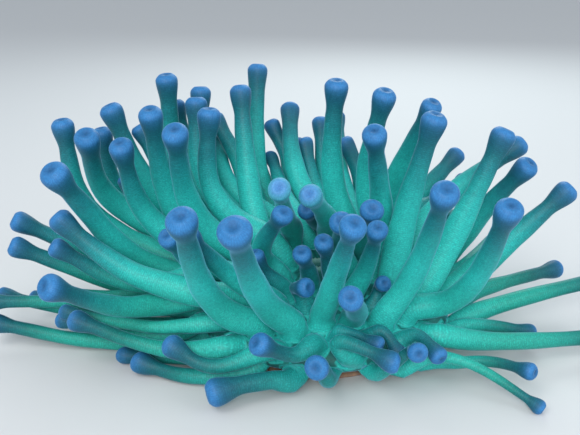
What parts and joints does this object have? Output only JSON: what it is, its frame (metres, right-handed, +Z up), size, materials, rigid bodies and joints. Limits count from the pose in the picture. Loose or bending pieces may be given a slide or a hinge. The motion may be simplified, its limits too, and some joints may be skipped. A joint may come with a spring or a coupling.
{
  "type": "giant Caribbean sea anemone model",
  "caption": "Life-size still model of a giant Caribbean sea anemone at rest: a short column and a wide disc crowded with long bent tentacles that end in swollen tips.",
  "frame": {"origin": "centre of the pedal disc's flat underside, which stands on the floor", "axes": "+Z up along the column; -Y toward the front of the animal, the side its disc leans to; +X to the right seen from the front"},
  "size_m": [0.3583, 0.2845, 0.1455],
  "materials": {
    "skin": "soft satin, slightly translucent turquoise flesh with fine cross striation, turning blue-violet at the swollen tips; buff-brown low on the column"
  },
  "bodies": {
    "root": {"pedal_disc": "skin", "column": "skin", "oral_disc": "skin", "mouth": "skin", "margin_sector_1": "skin", "margin_sector_2": "skin", "margin_sector_3": "skin", "margin_sector_4": "skin", "margin_sector_5": "skin", "margin_sector_6": "skin", "margin_sector_7": "skin", "margin_sector_8": "skin", "tentacle_back_1": "skin", "tentacle_back_11": "skin", "tentacle_back_12": "skin", "tentacle_back_20": "skin", "tentacle_back_23": "skin", "tentacle_back_24": "skin", "tentacle_back_3": "skin", "tentacle_back_5": "skin", "tentacle_back_6": "skin", "tentacle_back_7": "skin", "tentacle_back_8": "skin", "tentacle_back_left_1": "skin", "tentacle_back_left_2": "skin", "tentacle_back_left_4": "skin", "tentacle_back_left_5": "skin", "tentacle_back_left_6": "skin", "tentacle_front_1": "skin", "tentacle_front_2": "skin", "tentacle_front_4": "skin", "tentacle_front_5": "skin", "tentacle_front_6": "skin", "tentacle_front_7": "skin", "tentacle_inner_1": "skin", "tentacle_inner_10": "skin", "tentacle_inner_13": "skin", "tentacle_inner_2": "skin", "tentacle_inner_4": "skin", "tentacle_inner_5": "skin", "tentacle_inner_6": "skin", "tentacle_inner_7": "skin", "tentacle_left_1": "skin", "tentacle_left_3": "skin", "tentacle_low_left_4": "skin", "tentacle_low_left_5": "skin", "tentacle_low_right_2": "skin", "tentacle_low_right_4": "skin", "tentacle_right_1": "skin", "tentacle_right_2": "skin", "tentacle_right_4": "skin", "tentacle_right_5": "skin", "tentacle_right_6": "skin", "tentacle_right_7": "skin", "tentacle_right_8": "skin", "tentacle_right_9": "skin"}
  },
  "joints": []
}
